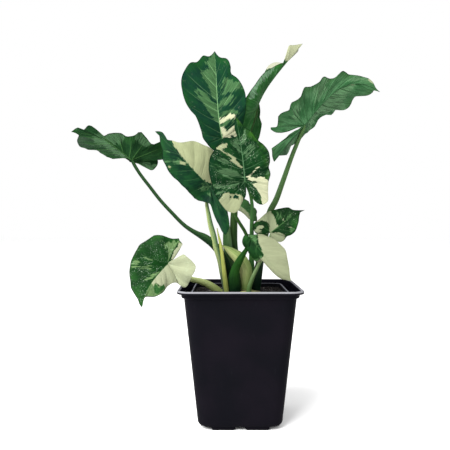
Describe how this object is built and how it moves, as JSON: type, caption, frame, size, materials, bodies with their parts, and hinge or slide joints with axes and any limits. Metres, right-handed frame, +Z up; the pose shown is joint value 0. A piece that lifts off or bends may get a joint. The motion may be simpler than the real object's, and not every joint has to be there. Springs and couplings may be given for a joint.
{
  "type": "potted alocasia",
  "caption": "Clump of variegated elephant-ear leaves on long sheathed stalks, growing from a corm in soil in a square tapered nursery pot.",
  "frame": {"origin": "centre of the pot's underside, on the surface that the pot stands on", "axes": "+X to the right as seen from the front, +Y to the back, +Z up"},
  "size_m": [0.5303, 0.205, 0.6782],
  "materials": {
    "pot": "satin",
    "soil": "matte",
    "corm": "matte",
    "leaf_green": "satin",
    "leaf_cream": "satin",
    "stalk_green": "satin",
    "stalk_pale": "satin"
  },
  "bodies": {
    "root": {"pot": "pot", "grow_pot": "pot", "soil": "soil", "corm": "corm", "stalk_rolled": "stalk_green", "stalk_top": "stalk_green", "stalk_far_right": "stalk_green", "stalk_tucked": "stalk_green", "stalk_far_left": "stalk_green", "stalk_low_left": "stalk_pale", "stalk_front": "stalk_green", "stalk_small_right": "stalk_green", "stalk_half_cream": "stalk_pale", "stalk_drooping": "stalk_green", "sheath_leaf": "stalk_pale", "young_spear": "stalk_pale", "blade_rolled": "leaf_green", "blade_top": "leaf_green", "blade_far_right": "leaf_green", "blade_tucked": "leaf_green", "blade_far_left": "leaf_green", "blade_low_left": "leaf_cream", "blade_front": "leaf_green", "blade_small_right": "leaf_green", "blade_half_cream": "leaf_green", "blade_drooping": "leaf_cream"}
  },
  "joints": []
}
